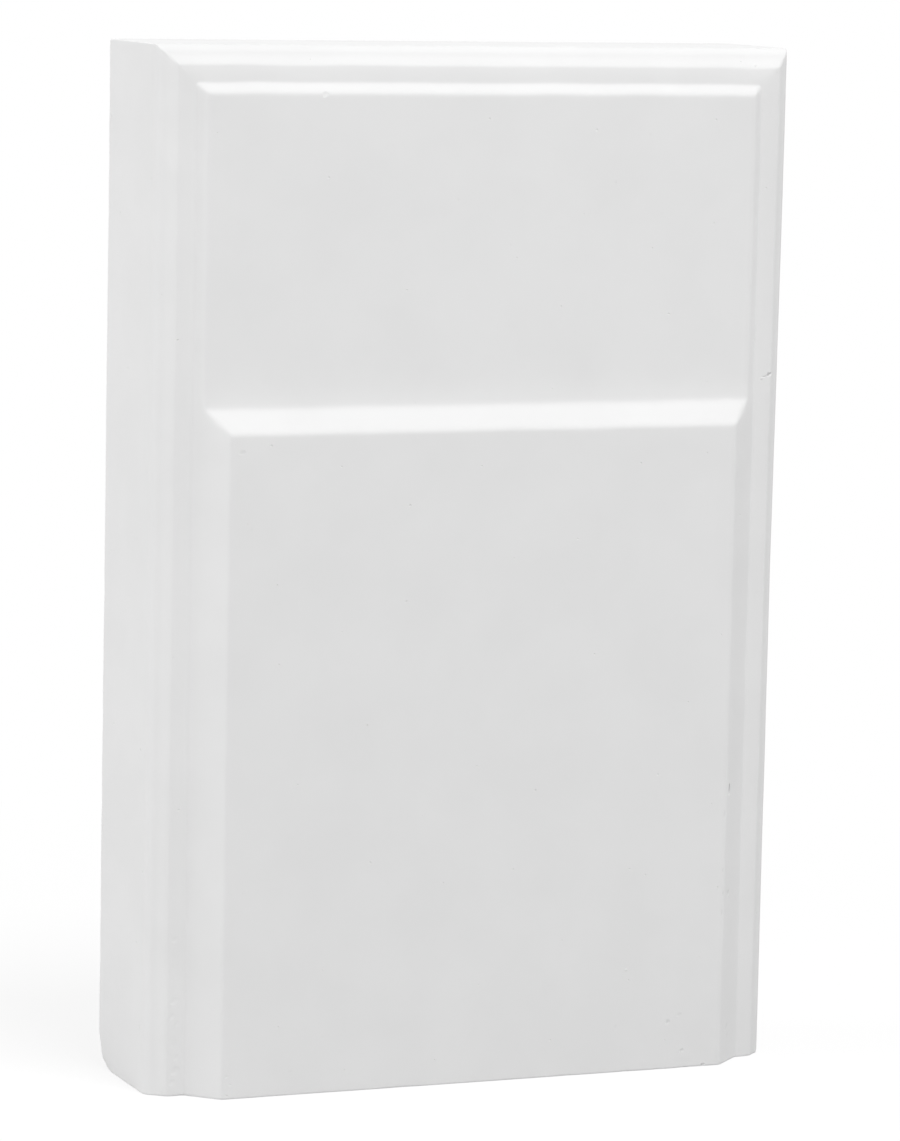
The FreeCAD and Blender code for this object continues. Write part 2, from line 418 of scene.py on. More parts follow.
def half_width(tree, given):
    """Distance from the block's middle to its sides."""
    return add_node(tree, MATH, (given["Width"], 0.5), operation="MULTIPLY")


def arc_height(tree, radius, offset):
    """How far an arc stands from its centre's level at an offset from that centre."""
    whole = add_node(tree, MATH, (radius, radius), operation="MULTIPLY")
    taken = add_node(tree, MATH, (offset, offset), operation="MULTIPLY")
    left = add_node(tree, MATH, (whole, taken), operation="SUBTRACT")
    kept = add_node(tree, MATH, (left, 0.0), operation="MAXIMUM")
    return add_node(tree, MATH, (kept,), operation="SQRT")


def swing(tree, place, wavelength, amount):
    """Smooth noise that swings about as far as amount to either side of nothing."""
    values = {"Vector": place, "Scale": 1.0 / wavelength, "Detail": SWING_DETAIL}
    noise = add_node(tree, NOISE, values)
    centred = add_node(tree, MATH, (noise, NOISE_MIDDLE), operation="SUBTRACT")
    full = add_node(tree, MATH, (centred, FULL_SWING), operation="MULTIPLY")
    return add_node(tree, MATH, (full, amount), operation="MULTIPLY")


def edge_section_tree(sizes):
    """Node group: the moulded edge's depth from the back, by the distance in from side or top."""
    inputs = {"Inset": "NodeSocketFloat", **sizes}
    tree, given, result = open_tree("Moulded edge", inputs, {"Depth": "NodeSocketFloat"})
    inset = given["Inset"]
    # Ogee: a round shoulder, then a hollow, both pressed narrower where the fillet spreads
    room = add_node(tree, MATH, (given["Ogee Inset"], given["Fillet Spread"]), operation="SUBTRACT")
    press = add_node(tree, MATH, (given["Ogee Inset"], room), operation="DIVIDE")
    pressed = add_node(tree, MATH, (inset, press), operation="MULTIPLY")
    in_shoulder = add_node(tree, MATH, (given["Shoulder Radius"], pressed), operation="SUBTRACT")
    shoulder = arc_height(tree, given["Shoulder Radius"], in_shoulder)
    in_hollow = add_node(tree, MATH, (pressed, given["Hollow Inset"]), operation="SUBTRACT")
    below = arc_height(tree, given["Hollow Radius"], in_hollow)
    hollow = add_node(tree, MATH, (given["Hollow Depth"], below), operation="SUBTRACT")
    past = add_node(tree, MATH, (inset, given["Ogee Inset"]), operation="SUBTRACT")
    on_bevel = add_node(tree, MATH, (past, given["Fillet Width"]), operation="SUBTRACT")
    beyond = add_node(tree, MATH, (on_bevel, 0.0), operation="MAXIMUM")
    rising = add_node(tree, MATH, (hollow, beyond), operation="ADD")
    before_turn = add_node(tree, MATH, (pressed, given["Ogee Turn"]), operation="LESS_THAN")
    ogee = add_node(tree, MIX, (before_turn, rising, shoulder), data_type="FLOAT")
    moulding = add_node(tree, MATH, (given["Side Depth"], ogee), operation="ADD")
    # Fillet, level at the bevel and falling a little towards the ogee
    level = add_node(tree, MATH, (given["Side Depth"], given["Ogee Depth"]), operation="ADD")
    share = add_node(tree, MATH, (on_bevel, given["Fillet Width"]), operation="DIVIDE")
    square = add_node(tree, MATH, (share, share), operation="MULTIPLY")
    fall = add_node(tree, MATH, (square, given["Fillet Fall"]), operation="MULTIPLY")
    fillet = add_node(tree, MATH, (level, fall), operation="SUBTRACT")
    # Bevel, which the panels cut off at their own heights
    slope = add_node(tree, MATH, (given["Bevel Angle"],), operation="TANGENT")
    bevel = add_node(tree, MATH, (on_bevel, slope, level), operation="MULTIPLY_ADD")
    inner = add_node(tree, MATH, (fillet, bevel, given["Quirk"]), operation="SMOOTH_MAX")
    depth = add_node(tree, MATH, (moulding, inner, given["Fillet Edge"]), operation="SMOOTH_MIN")
    tree.links.new(depth.outputs[0], result.inputs["Depth"])
    return tree


def use_section(tree, section, given, inset):
    """The moulded edge's depth at an inset, with the block's own sizes handed on."""
    node = add_node(tree, "GeometryNodeGroup", node_tree=section)
    for socket in node.inputs:
        tree.links.new(given[socket.name] if socket.name in given else inset.outputs[0], socket)
    return node


def wandering(tree, given, place, distance):
    """A distance from an edge that wavers a little, but not at the edge itself."""
    waver = swing(tree, place, WAVER_LENGTH, given["Waver"])
    share = add_node(tree, RANGE, (distance, 0.0, given["Shoulder Radius"], 0.0, 1.0))
    return add_node(tree, MATH, (waver, share, distance), operation="MULTIPLY_ADD")


def front_depth(tree, given, section, place, spot):
    """Depth of the moulded front from the back, at a place across and up the block."""
    x, z = spot.outputs["X"], spot.outputs["Z"]
    # Moulded sides and top: on the right the fillet spreads further, the higher up the more
    across = add_node(tree, MATH, (x,), operation="ABSOLUTE")
    inset = add_node(tree, MATH, (half_width(tree, given), across), operation="SUBTRACT")
    head = add_node(tree, MATH, (given["Height"], z), operation="SUBTRACT")
    on_right = add_node(tree, MATH, (x, 0.0), operation="GREATER_THAN")
    extra = add_node(tree, RANGE, (z, 0.0, given["Height"], 0.0, given["Right Spread"]))
    values = (on_right, extra, given["Fillet Spread"])
    spread = add_node(tree, MATH, values, operation="MULTIPLY_ADD").outputs[0]
    side_sizes = {**given, "Fillet Spread": spread}
    sides = use_section(tree, section, side_sizes, wandering(tree, given, place, inset))
    top = use_section(tree, section, given, wandering(tree, given, place, head))
    # Lower panel, with its sloping top
    fillet = add_node(tree, MATH, (given["Side Depth"], given["Ogee Depth"]), operation="ADD")
    upper = add_node(tree, MATH, (fillet, given["Upper Rise"]), operation="ADD")
    lower = add_node(tree, MATH, (fillet, given["Lower Rise"]), operation="ADD")
    to_bevel = add_node(tree, MATH, (given["Lower Height"], z), operation="SUBTRACT")
    waver = swing(tree, place, WAVER_LENGTH, given["Waver"])
    down = add_node(tree, MATH, (to_bevel, waver), operation="ADD")
    climb = add_node(tree, MATH, (lower, upper), operation="SUBTRACT")
    slope = add_node(tree, MATH, (climb, given["Weathering"]), operation="DIVIDE")
    start = add_node(tree, MATH, (upper, given["Sweep"]), operation="ADD")
    weathered = add_node(tree, MATH, (down, slope, start), operation="MULTIPLY_ADD")
    crown = add_node(tree, MATH, (weathered, lower, given["Arris"]), operation="SMOOTH_MIN")
    # Upper panel, sweeping out to meet it
    above = add_node(tree, MATH, (z, given["Lower Height"]), operation="SUBTRACT")
    near = add_node(tree, RANGE, (above, 0.0, given["Sweep Reach"], 1.0, 0.0))
    eased = add_node(tree, MATH, (near, near), operation="MULTIPLY")
    swept = add_node(tree, MATH, (eased, given["Sweep"], upper), operation="MULTIPLY_ADD")
    panels = add_node(tree, MATH, (crown, swept, given["Cove"]), operation="SMOOTH_MAX")
    # The bevels' arrises are softened, but the moulding's mitres stay crisp and the fillet flat
    under_top = add_node(tree, MATH, (top, panels, given["Arris"]), operation="SMOOTH_MIN")
    soft = add_node(tree, MATH, (sides, under_top, given["Arris"]), operation="SMOOTH_MIN")
    hard = add_node(tree, MATH, (sides, under_top), operation="MINIMUM")
    flat = add_node(tree, MATH, (hard, fillet), operation="MINIMUM")
    return add_node(tree, MATH, (soft, flat), operation="MAXIMUM")


def worn_radius(tree, given, place):
    """Radius of the square edges, larger where they are knocked and at two corners of the foot."""
    knocks = swing(tree, place, WEAR_LENGTH, given["Edge Wear"])
    kept = add_node(tree, MATH, (knocks, 0.0), operation="MAXIMUM")
    radius = add_node(tree, MATH, (given["Edge Round"], kept), operation="ADD")
    right = half_width(tree, given)
    left = add_node(tree, MATH, (right, -1.0), operation="MULTIPLY")
    fore = add_node(tree, MATH, (given["Back"], given["Side Depth"]), operation="SUBTRACT")
    for label, x, y in (("Back Corner", left, given["Back"]), ("Front Corner", right, fore)):
        corner = add_node(tree, JOIN, (x, y, 0.0))
        away = add_node(tree, VECTOR, (place, corner), operation="DISTANCE").outputs["Value"]
        values = (away, 0.0, given[label + " Reach"], given[label], 0.0)
        loss = add_node(tree, RANGE, values, interpolation_type="SMOOTHSTEP")
        radius = add_node(tree, MATH, (radius, loss), operation="MAXIMUM")
    return radius


def rounded_place(tree, given, place, spot, depth):
    """The place of a point once the square edges round it are worn to their radius."""
    radius = worn_radius(tree, given, place)
    right = add_node(tree, MATH, (half_width(tree, given), radius), operation="SUBTRACT")
    left = add_node(tree, MATH, (right, -1.0), operation="MULTIPLY")
    top = add_node(tree, MATH, (given["Height"], radius), operation="SUBTRACT")
    rear = add_node(tree, MATH, (given["Back"], radius), operation="SUBTRACT")
    # The front is rounded at the foot alone, because its other edges are moulded
    at_foot = add_node(tree, MATH, (spot.outputs["Z"], radius), operation="LESS_THAN")
    bite = add_node(tree, MIX, (at_foot, -CLEAR_OF_BLOCK, radius), data_type="FLOAT")
    face = add_node(tree, MATH, (given["Back"], depth), operation="SUBTRACT")
    fore = add_node(tree, MATH, (face, bite), operation="ADD")
    core_x = add_node(tree, CLAMP, (spot.outputs["X"], left, right))
    core_y = add_node(tree, CLAMP, (spot.outputs["Y"], fore, rear))
    core_z = add_node(tree, CLAMP, (spot.outputs["Z"], radius, top))
    core = add_node(tree, JOIN, (core_x, core_y, core_z))
    out = add_node(tree, VECTOR, (place, core), operation="SUBTRACT")
    reach = add_node(tree, VECTOR, (out,), operation="LENGTH").outputs["Value"]
    share = add_node(tree, MATH, (radius, reach), operation="DIVIDE")
    whole = add_node(tree, MATH, (share, 1.0), operation="MINIMUM")
    kept = add_node(tree, VECTOR, {"Vector": out, "Scale": whole}, operation="SCALE")
    return add_node(tree, VECTOR, (core, kept), operation="ADD")


def uneven_foot(tree, given, place, spot):
    """How far the saw-cut foot is lifted here and there, fading out a little way up."""
    lift = swing(tree, place, FOOT_LENGTH, given["Foot Waver"])
    up = add_node(tree, MATH, (lift, 0.0), operation="MAXIMUM")
    fade = add_node(tree, RANGE, (spot.outputs["Z"], 0.0, WEAR_LENGTH, 1.0, 0.0))
    rise = add_node(tree, MATH, (up, fade), operation="MULTIPLY")
    return add_node(tree, JOIN, (0.0, 0.0, rise))


def struck_back(tree, given, place, behind):
    """Offset of the back, which was struck off level with the mould: long faint strokes."""
    squeeze = (1.0 / STROKE_LENGTH, 1.0, 1.0)
    drawn = add_node(tree, VECTOR, (place, squeeze), operation="MULTIPLY")
    stroke = swing(tree, drawn, STROKE_WIDTH, given["Strike"])
    fade = add_node(tree, RANGE, (behind, 0.0, STROKE_FADE, 1.0, 0.0))
    kept = add_node(tree, MATH, (stroke, fade), operation="MULTIPLY")
    return add_node(tree, JOIN, (0.0, kept, 0.0))


def leaning_side(tree, given, spot):
    """Offset of the right side and its moulding, which fall in towards the foot."""
    values = (half_width(tree, given), spot.outputs["X"])
    inset = add_node(tree, MATH, values, operation="SUBTRACT")
    outer = add_node(tree, RANGE, (inset, 0.0, given["Ogee Inset"], 1.0, 0.0))
    values = (spot.outputs["Z"], LEAN_FOOT, LEAN_HEAD, given["Right Lean"], 0.0)
    fall = add_node(tree, RANGE, values, interpolation_type="SMOOTHSTEP")
    inward = add_node(tree, MATH, (fall, -1.0), operation="MULTIPLY")
    kept = add_node(tree, MATH, (outer, inward), operation="MULTIPLY")
    return add_node(tree, JOIN, (kept, 0.0, 0.0))


def surface_swell(tree, given, place):
    """Offset along the normal of the cast's slow ripple and its fine unevenness."""
    ripple = swing(tree, place, RIPPLE_LENGTH, given["Ripple"])
    grain = swing(tree, place, GRAIN_LENGTH, given["Grain"])
    both = add_node(tree, MATH, (ripple, grain), operation="ADD")
    normal = add_node(tree, "GeometryNodeInputNormal")
    return add_node(tree, VECTOR, {"Vector": normal, "Scale": both}, operation="SCALE")


def rough_ball(tree, place):
    """A small uneven ball of unit radius, which marks are made with, and whose faces say so."""
    values = {"Radius": 1.0, "Subdivisions": BALL_DIVISIONS}
    ball = add_node(tree, "GeometryNodeMeshIcoSphere", values)
    noise = add_node(tree, NOISE, {"Vector": place, "Scale": BALL_UNEVENNESS}).outputs["Color"]
    uneven = add_node(tree, VECTOR, (noise, (NOISE_MIDDLE,) * 3), operation="SUBTRACT")
    rough = add_node(tree, MOVE, {"Geometry": ball, "Offset": uneven})
    values = {"Geometry": rough, "Name": MARK, "Value": 1.0}
    return add_node(tree, STORE, values, data_type="FLOAT", domain="FACE")


def marks_on_front(tree, shape, marks, ball, lean):
    """Balls of the marks' sizes, turned along the face and set off it so that only caps meet it."""
    points = add_node(tree, "GeometryNodeObjectInfo", {"Object": marks}).outputs["Geometry"]
    ray = {"Target Geometry": shape, "Ray Direction": (0.0, 1.0, 0.0), "Ray Length": POINT_SIGHT}
    ahead = add_node(tree, "GeometryNodeRaycast", ray).outputs
    values = {"Vector": ahead["Hit Normal"], "Scale": -1.0}
    into_face = add_node(tree, VECTOR, values, operation="SCALE")
    values = {"Geometry": points, "Name": INWARD, "Value": into_face}
    facing = add_node(tree, STORE, values, data_type="FLOAT_VECTOR", domain="POINT")
    inward = add_node(tree, RECALL, (INWARD,), data_type="FLOAT_VECTOR")
    size = add_node(tree, RECALL, (BALL_SIZE,), data_type="FLOAT_VECTOR")
    deep = add_node(tree, SPLIT, (size,)).outputs["Y"]
    off = add_node(tree, MATH, (deep, lean), operation="MULTIPLY")
    offset = add_node(tree, VECTOR, {"Vector": inward, "Scale": off}, operation="SCALE")
    values = {"Geometry": facing, "Position": ahead["Hit Position"], "Offset": offset}
    seated = add_node(tree, MOVE, values)
    turned = add_node(tree, "FunctionNodeAlignRotationToVector", {"Vector": inward}, axis="Y")
    values = {"Points": seated, "Instance": ball, "Rotation": turned, "Scale": size}
    return add_node(tree, ON_POINTS, values)


def scattered_pinholes(tree, given, shape, ball):
    """Flattened balls of many small sizes, scattered over every face and turned to lie along it."""
    values = {
        "Mesh": shape,
        "Distance Min": given["Pinhole Gap"],
        "Density Max": PINHOLE_DENSITY,
        "Seed": given["Seed"],
    }
    scatter = add_node(
        tree, "GeometryNodeDistributePointsOnFaces", values, distribute_method="POISSON"
    ).outputs
    least = add_node(tree, MATH, (given["Pinhole"], PINHOLE_LEAST), operation="MULTIPLY")
    values = {"Min": least, "Max": given["Pinhole"], "Seed": given["Seed"]}
    radius = add_node(tree, "FunctionNodeRandomValue", values, data_type="FLOAT")
    size = add_node(tree, JOIN, (radius, radius, given["Pinhole Depth"]))
    values = {
        "Points": scatter["Points"],
        "Instance": ball,
        "Rotation": scatter["Rotation"],
        "Scale": size,
    }
    return add_node(tree, ON_POINTS, values)


def dust_and_shade_in_pits(tree, given, pitted, whole):
    """Gives each point its share of dust and painted shade: none on the faces, and more the deeper
    it lies.
    """
    below = add_node(tree, "GeometryNodeProximity", (whole,), target_element="FACES")
    values = (below.outputs["Distance"], 0.0, given["Dust Depth"], 0.0, 1.0)
    share = add_node(tree, RANGE, values)
    values = {"Geometry": pitted, "Name": DUST_AND_SHADE, "Value": share}
    return add_node(tree, STORE, values, data_type="FLOAT", domain="POINT")


def creased_shading(tree, shape):
    """The shape shaded smooth, but for its sharp edges and the rims of its marks."""
    smooth = add_node(tree, SHADE, (shape, True, True), domain="FACE")
    turn = add_node(tree, "GeometryNodeInputMeshEdgeAngle")
    sharp = add_node(tree, MATH, (turn, SHARP_ANGLE), operation="GREATER_THAN")
    marked = add_node(tree, RECALL, (MARK,), data_type="FLOAT")
    rim = add_node(tree, MATH, (marked, RIM_VALUE, RIM_MARGIN), operation="COMPARE")
    crease = add_node(tree, MATH, (sharp, rim), operation="MAXIMUM")
    return add_node(tree, SHADE, (smooth, crease, False), domain="EDGE")


def block_tree(lengths):
    """Node tree that shapes a plain blank into the cast block: section, wear, marks, and dust with
    painted shade in the pits.
    """
    floats = {name: "NodeSocketFloat" for name in lengths}
    inputs = {
        "Blank": "NodeSocketGeometry",
        "Pits": "NodeSocketObject",
        "Chips": "NodeSocketObject",
        "Nibs": "NodeSocketObject",
        "Plaster": "NodeSocketMaterial",
        "Seed": "NodeSocketInt",
        **floats,
    }
    tree, given, result = open_tree("Cast block", inputs, {"Block": "NodeSocketGeometry"})
    section = edge_section_tree(floats)
    place = add_node(tree, "GeometryNodeInputPosition")
    spot = add_node(tree, SPLIT, (place,))
    # The blank's front is drawn out to the section, and what lies behind it in proportion
    depth = front_depth(tree, given, section, place, spot)
    behind = add_node(tree, MATH, (given["Back"], spot.outputs["Y"]), operation="SUBTRACT")
    share = add_node(tree, MATH, (behind, given["Side Depth"]), operation="DIVIDE")
    reach = add_node(tree, MATH, (share, depth), operation="MULTIPLY")
    fore = add_node(tree, MATH, (given["Back"], reach), operation="SUBTRACT")
    moulded = add_node(tree, JOIN, (spot.outputs["X"], fore, spot.outputs["Z"]))
    shape = add_node(tree, MOVE, {"Geometry": given["Blank"], "Position": moulded})
    worn = rounded_place(tree, given, place, spot, depth)
    shape = add_node(tree, MOVE, {"Geometry": shape, "Position": worn})
    for offset in (
        uneven_foot(tree, given, place, spot),
        struck_back(tree, given, place, behind),
        leaning_side(tree, given, spot),
        surface_swell(tree, given, place),
    ):
        shape = add_node(tree, MOVE, {"Geometry": shape, "Offset": offset})
    # Pinholes and chips are clean plaster, pits hold dust and painted shade, and nibs stand proud
    ball = rough_ball(tree, place)
    holes = scattered_pinholes(tree, given, shape, ball)
    pits = marks_on_front(tree, shape, given["Pits"], ball, -CAP_LEAN)
    chips = marks_on_front(tree, shape, given["Chips"], ball, -CAP_LEAN)
    nibs = marks_on_front(tree, shape, given["Nibs"], ball, CAP_LEAN)
    cut = {"operation": "DIFFERENCE", "solver": "MANIFOLD"}
    clean = add_node(tree, BOOLEAN, (shape, [holes, chips]), **cut)
    pitted = add_node(tree, BOOLEAN, (clean, [pits]), **cut)
    # Painted shade with the dust: each point's share of darker grey grows with its depth in a pit
    dusted_and_shaded = dust_and_shade_in_pits(tree, given, pitted, clean)
    marked = add_node(tree, BOOLEAN, ([dusted_and_shaded, nibs],), operation="UNION", solver="MANIFOLD")
    shaded = creased_shading(tree, marked)
    whole = add_node(tree, "GeometryNodeRealizeInstances", (shaded,))
    values = {"Geometry": whole, "Material": given["Plaster"]}
    finished = add_node(tree, "GeometryNodeSetMaterial", values)
    tree.links.new(finished.outputs[0], result.inputs["Block"])
    return tree


def hollow_centre(sizes):
    """Inset and depth of the hollow's centre, whose arc runs from the shoulder's to the fillet."""
    start = Vector((sizes.shoulder_radius, 0.0))
    end = Vector((sizes.ogee_inset, sizes.ogee_depth))
    reach = sizes.shoulder_radius + sizes.hollow_radius
    gap = (end - start).length
    along = (reach**2 - sizes.hollow_radius**2 + gap**2) / (2 * gap)
    aside = math.sqrt(reach**2 - along**2)
    line = (end - start) / gap
    return start + line * along + Vector((-line.y, line.x)) * aside


def ogee_values(sizes):
    """The ogee's worked-out places: the hollow's centre, and the inset where the curve turns."""
    centre = hollow_centre(sizes)
    share = sizes.shoulder_radius / (sizes.shoulder_radius + sizes.hollow_radius)
    turn = sizes.shoulder_radius + (centre.x - sizes.shoulder_radius) * share
    return {"Hollow Inset": centre.x, "Hollow Depth": centre.y, "Ogee Turn": turn}


def grid_stops(turns):
    """Stops from the first turn to the last, close together at each turn and wider between them."""
    stops = [turns[0]]
    for start, end in zip(turns, turns[1:]):
        span = end - start
        steps = [0.0]
        while steps[-1] < span:
            nearest = min(steps[-1], max(span - steps[-1], 0.0))
            steps.append(steps[-1] + min(WIDE_LINE, FINE_LINE + nearest * LINE_GROWTH))
        stops += [start + step * span / steps[-1] for step in steps[1:]]
    return stops


def box_shell(name, stops):
    """A closed box whose grid lines lie at the given stops along X, Y and Z."""
    places, faces = {}, []
    last = [len(line) - 1 for line in stops]
    for axis in range(3):
        u, v = (axis + 1) % 3, (axis + 2) % 3
        for side in (0, last[axis]):
            for a in range(last[u]):
                for b in range(last[v]):
                    ring = [(a, b), (a + 1, b), (a + 1, b + 1), (a, b + 1)]
                    face = []
                    for p, q in ring if side else reversed(ring):
                        key = [0, 0, 0]
                        key[axis], key[u], key[v] = side, p, q
                        face.append(places.setdefault(tuple(key), len(places)))
                    faces.append(face)
    mesh = bpy.data.meshes.new(name)
    mesh.from_pydata([[stops[i][k] for i, k in enumerate(key)] for key in places], [], faces)
    return mesh


def block_blank(sizes, values):
    """The plain blank that the section is worked on, with grid lines at the section's turns."""
    slope = math.tan(sizes.bevel_angle)
    foot = sizes.ogee_inset + sizes.fillet_width
    upper = foot + sizes.upper_rise / slope
    lower = foot + sizes.lower_rise / slope
    edge = [0.0, values["Ogee Turn"], sizes.ogee_inset, foot, upper]
    half = sizes.width / 2
    left = [inset - half for inset in edge + [lower]]
    across = left + [-x for x in reversed(left)]
    crown = sizes.lower_height - sizes.weathering
    up = [0.0, crown, sizes.lower_height] + [sizes.height - inset for inset in reversed(edge)]
    through = [sizes.back - sizes.side_depth, sizes.back]
    return box_shell("block_blank", [grid_stops(turns) for turns in (across, through, up)])


def link_object(name, data):
    """A new object in the scene, at the origin."""
    made = bpy.data.objects.new(name, data)
    bpy.context.scene.collection.objects.link(made)
    return made


def mark_points(name, marks):
    """Loose points in front of the block, one for each mark, which carry their balls' sizes."""
    mesh = bpy.data.meshes.new(name)
    ahead = CAD_LOW.y - POINT_STANDOFF
    mesh.from_pydata([(x * MM, ahead, z * MM) for x, z, *_ in marks], [], [])
    sizes = mesh.attributes.new(BALL_SIZE, "FLOAT_VECTOR", "POINT")
    for ball, (_, _, across, deep, up) in zip(sizes.data, marks):
        ball.vector = Vector((across / CAP_RIM, deep / (1.0 - CAP_LEAN), up / CAP_RIM)) * MM
    return link_object(name, mesh)


def lengths_of(*groups):
    """Every length and angle of the property groups, by its label."""
    return {
        prop.name: getattr(group, key)
        for group in groups
        for key, prop in group.bl_rna.properties.items()
        if prop.type == "FLOAT"
    }


def apply_tree(piece, tree, values):
    """Runs a node tree on a piece and leaves its result as the piece's plain mesh."""
    modifier = piece.modifiers.new(tree.name, "NODES")
    modifier.node_group = tree
    for item in tree.interface.items_tree:
        if item.in_out == "INPUT" and item.name in values:
            modifier[item.identifier] = values[item.name]
    graph = bpy.context.evaluated_depsgraph_get()
    mesh = bpy.data.meshes.new_from_object(piece.evaluated_get(graph))
    piece.modifiers.remove(modifier)
    piece.data = mesh
    mesh.name = piece.name


def check_closed(mesh):
    """Raises an error unless the mesh is closed and light enough."""
    mesh.calc_loop_triangles()
    uses = [0] * len(mesh.edges)
    for loop in mesh.loops:
        uses[loop.edge_index] += 1
    if any(count != 2 for count in uses):
        raise RuntimeError(f"{mesh.name} isn't closed")
    if not 0 < len(mesh.loop_triangles) < MOST_TRIANGLES:
        raise RuntimeError(f"{mesh.name} has {len(mesh.loop_triangles)} triangles")


def plaster_material(finish):
    """Cast gypsum plaster, as it left the mould: dry, chalky and matt, with a faint cloudiness.

    To the eye it is a soft white with no gloss, its fine grain seen only close up and in raking
    light, and a little grey in its pits, where dust and painted shade darken it the deeper it lies.
    """
    material = bpy.data.materials.new("Cast gypsum plaster")
    tree = bare_nodes(material)
    place = add_node(tree, "ShaderNodeTexCoord").outputs["Object"]
    values = {"Vector": place, "Scale": 1 / CLOUD_LENGTH, "Detail": CLOUD_DETAIL}
    cloud = add_node(tree, NOISE, values)
    cloudy = add_node(tree, RANGE, (cloud, CLOUD_START, CLOUD_END, 0.0, 1.0))
    values = {"Factor": cloudy, "A": (*finish.body, 1.0), "B": (*finish.shade, 1.0)}
    tint = add_node(tree, MIX, values, data_type="RGBA")
    # Dust and painted shade: the darker grey is mixed in by each point's depth in a pit
    dust = add_node(tree, "ShaderNodeAttribute", attribute_name=DUST_AND_SHADE).outputs["Fac"]
    values = {"Factor": dust, "A": tint, "B": (*finish.dust, 1.0)}
    soiled_and_shaded = add_node(tree, MIX, values, data_type="RGBA")
    values = {"Vector": place, "Scale": 1 / CRYSTAL_LENGTH, "Detail": CRYSTAL_DETAIL}
    grain = add_node(tree, NOISE, values)
    values = {"Strength": CRYSTAL_STRENGTH, "Distance": CRYSTAL_HEIGHT, "Height": grain}
    bump = add_node(tree, "ShaderNodeBump", values)
    values = {
        "Base Color": soiled_and_shaded,
        "Roughness": PLASTER_ROUGHNESS,
        "IOR": PLASTER_IOR,
        "Normal": bump,
    }
    surface = add_node(tree, "ShaderNodeBsdfPrincipled", values)
    add_node(tree, "ShaderNodeOutputMaterial", (surface,))
    return material


class PLINTH_OT_cast_block(bpy.types.Operator):
    """Casts the plaster block in place of its CAD solid"""

    bl_idname = "plinth.cast_block"
    bl_label = "Cast Block"

    def execute(self, context):
        scene = context.scene
        sizes, wear = scene.plinth_sizes, scene.plinth_wear
        values = {**lengths_of(sizes, wear), **ogee_values(sizes)}
        piece = link_object(PIECE, block_blank(sizes, values))
        marks = {
            "Pits": mark_points("pits", PITS),
            "Chips": mark_points("chips", CHIPS),
            "Nibs": mark_points("nibs", NIBS),
        }
        tree = block_tree(values)
        plaster = plaster_material(scene.plinth_finish)
        apply_tree(piece, tree, {**values, **marks, "Plaster": plaster, "Seed": wear.seed})
        for points in marks.values():
            bpy.data.objects.remove(points)
        check_closed(piece.data)
        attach(piece, BODY)
        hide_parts(NODE)
        return {"FINISHED"}


def seen_directly(tree):
    """One where the camera sees a thing, straight or by way of gloss or glass, and else nothing."""
    path = add_node(tree, "ShaderNodeLightPath").outputs
    seen = path["Is Camera Ray"]
    for way in ("Is Glossy Ray", "Is Transmission Ray"):
        seen = add_node(tree, MATH, (seen, path[way]), operation="MAXIMUM")
    return seen


def floor_material(studio):
    """Matt white paper: it lights the block from below, and fades to plain white away from it."""
    material = bpy.data.materials.new("White paper floor")
    tree = bare_nodes(material)
    shown = seen_directly(tree)
    values = {"Factor": shown, "A": (*studio.floor, 1.0), "B": (*studio.backdrop, 1.0)}
    tint = add_node(tree, MIX, values, data_type="RGBA")
    paper = add_node(tree, "ShaderNodeBsdfDiffuse", {"Color": tint})
    values = {"Color": (*studio.backdrop, 1.0), "Strength": 1.0}
    white = add_node(tree, "ShaderNodeEmission", values)
    place = add_node(tree, "ShaderNodeTexCoord").outputs["Object"]
    away = add_node(tree, VECTOR, (place,), operation="LENGTH").outputs["Value"]
    values = (away, FADE_START, FADE_END, FADE_LEAST, 1.0)
    fade = add_node(tree, RANGE, values, interpolation_type="SMOOTHSTEP")
    share = add_node(tree, MATH, (fade, shown), operation="MULTIPLY")
    sheet = add_node(tree, "ShaderNodeMixShader", (share, paper, white))
    add_node(tree, "ShaderNodeOutputMaterial", (sheet,))
    return material


def lay_floor(studio):
    """The floor that the block stands on."""
    mesh = bpy.data.meshes.new("floor")
    corners = [(-1, -1), (1, -1), (1, 1), (-1, 1)]
    places = [(x * FLOOR_REACH, y * FLOOR_REACH, 0.0) for x, y in corners]
    mesh.from_pydata(places, [], [(0, 1, 2, 3)])
    mesh.materials.append(floor_material(studio))
    floor = link_object("floor", mesh)
    floor.location.z = CAD_LOW.z
    return floor


def light_world(scene, studio):
    """An even white surround: the backdrop to the camera, and a weaker light to everything else."""
    scene.world = bpy.data.worlds.new("White surround")
    tree = bare_nodes(scene.world)
    strength = add_node(tree, RANGE, (seen_directly(tree), 0.0, 1.0, studio.ambient, 1.0))
    values = {"Color": (*studio.backdrop, 1.0), "Strength": strength}
    sky = add_node(tree, "ShaderNodeBackground", values)
    add_node(tree, "ShaderNodeOutputWorld", (sky,))


def hang_lamp(name, place, aim, size, watts):
    """A square soft lamp that faces a point and isn't seen itself."""
    lamp = bpy.data.lights.new(name, "AREA")
    lamp.shape = "SQUARE"
    lamp.size = size
    lamp.energy = watts
    hung = link_object(name, lamp)
    hung.location = place
    hung.rotation_euler = (aim - place).to_track_quat("-Z", "Y").to_euler()
    hung.visible_camera = False


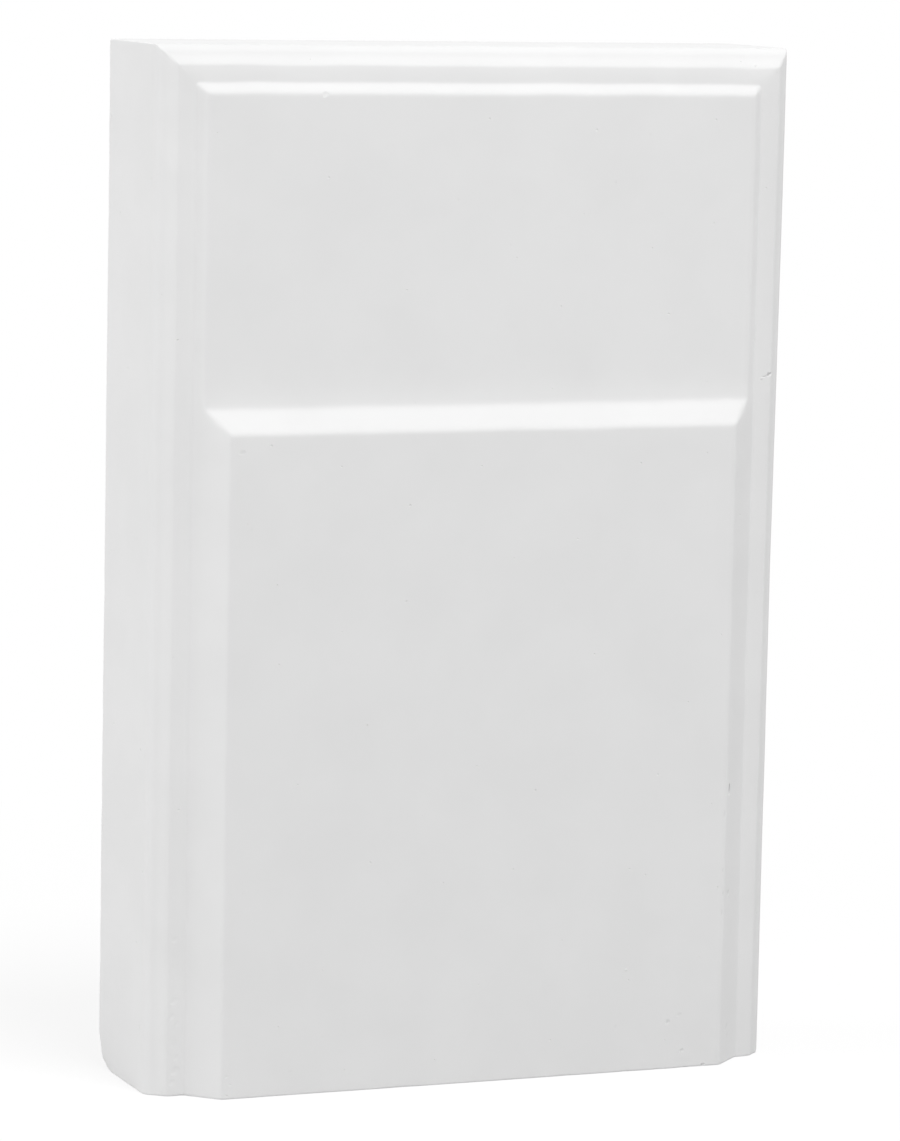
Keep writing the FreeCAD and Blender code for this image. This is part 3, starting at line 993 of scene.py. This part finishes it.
def set_camera(scene, studio):
    """The camera, at the photograph's angle to the block."""
    lens = bpy.data.cameras.new("Camera")
    lens.lens = studio.lens
    lens.clip_start = NEAREST_SEEN
    camera = link_object("Camera", lens)
    turn, drop = studio.azimuth, studio.elevation
    level = math.cos(drop)
    ahead = Vector((math.sin(turn) * level, math.cos(turn) * level, -math.sin(drop)))
    right = Vector((math.cos(turn), -math.sin(turn), 0.0))
    upright = Matrix((right, right.cross(ahead), -ahead)).transposed()
    camera.matrix_world = (
        Matrix.Translation(Vector(studio.aim) - ahead * studio.distance)
        @ upright.to_4x4()
        @ Matrix.Rotation(-studio.roll, 4, "Z")
    )
    scene.camera = camera


class PLINTH_OT_set_stage(bpy.types.Operator):
    """Lays the floor, lights the block and places the camera"""

    bl_idname = "plinth.set_stage"
    bl_label = "Set Stage"

    def execute(self, context):
        scene, studio = context.scene, context.scene.plinth_studio
        scene.view_settings.view_transform = "Standard"
        floor = lay_floor(studio)
        middle = (CAD_LOW + CAD_HIGH) / 2
        for name, offset, size, setting in LAMPS:
            hang_lamp(name, middle + Vector(offset), middle, size, getattr(studio, setting))
        light_world(scene, studio)
        set_camera(scene, studio)
        return {"FINISHED"}


class PLINTH_PT_panel(bpy.types.Panel):
    """Lists the block's operators and their settings"""

    bl_idname = "PLINTH_PT_panel"
    bl_label = "Plinth Block"
    bl_space_type = "VIEW_3D"
    bl_region_type = "UI"
    bl_category = "Plinth Block"

    def draw(self, context):
        scene = context.scene
        for operator, groups in (
            (PLINTH_OT_cast_block, (scene.plinth_sizes, scene.plinth_wear, scene.plinth_finish)),
            (PLINTH_OT_set_stage, (scene.plinth_studio,)),
        ):
            box = self.layout.box()
            box.operator(operator.bl_idname)
            for group in groups:
                for key in group.__annotations__:
                    box.prop(group, key)


GROUPS = {
    "plinth_sizes": BlockSizes,
    "plinth_wear": CastWear,
    "plinth_finish": PlasterFinish,
    "plinth_studio": StudioSetting,
}
CLASSES = (*GROUPS.values(), PLINTH_OT_cast_block, PLINTH_OT_set_stage, PLINTH_PT_panel)


def register():
    """Adds the classes to Blender and their settings to the scene."""
    for cls in CLASSES:
        bpy.utils.register_class(cls)
    for name, group in GROUPS.items():
        setattr(bpy.types.Scene, name, PointerProperty(type=group))


def unregister():
    """Takes away what register added."""
    for name in GROUPS:
        delattr(bpy.types.Scene, name)
    for cls in reversed(CLASSES):
        bpy.utils.unregister_class(cls)


def main():
    register()
    bpy.ops.plinth.cast_block()
    bpy.ops.plinth.set_stage()


if __name__ == "__main__":
    main()
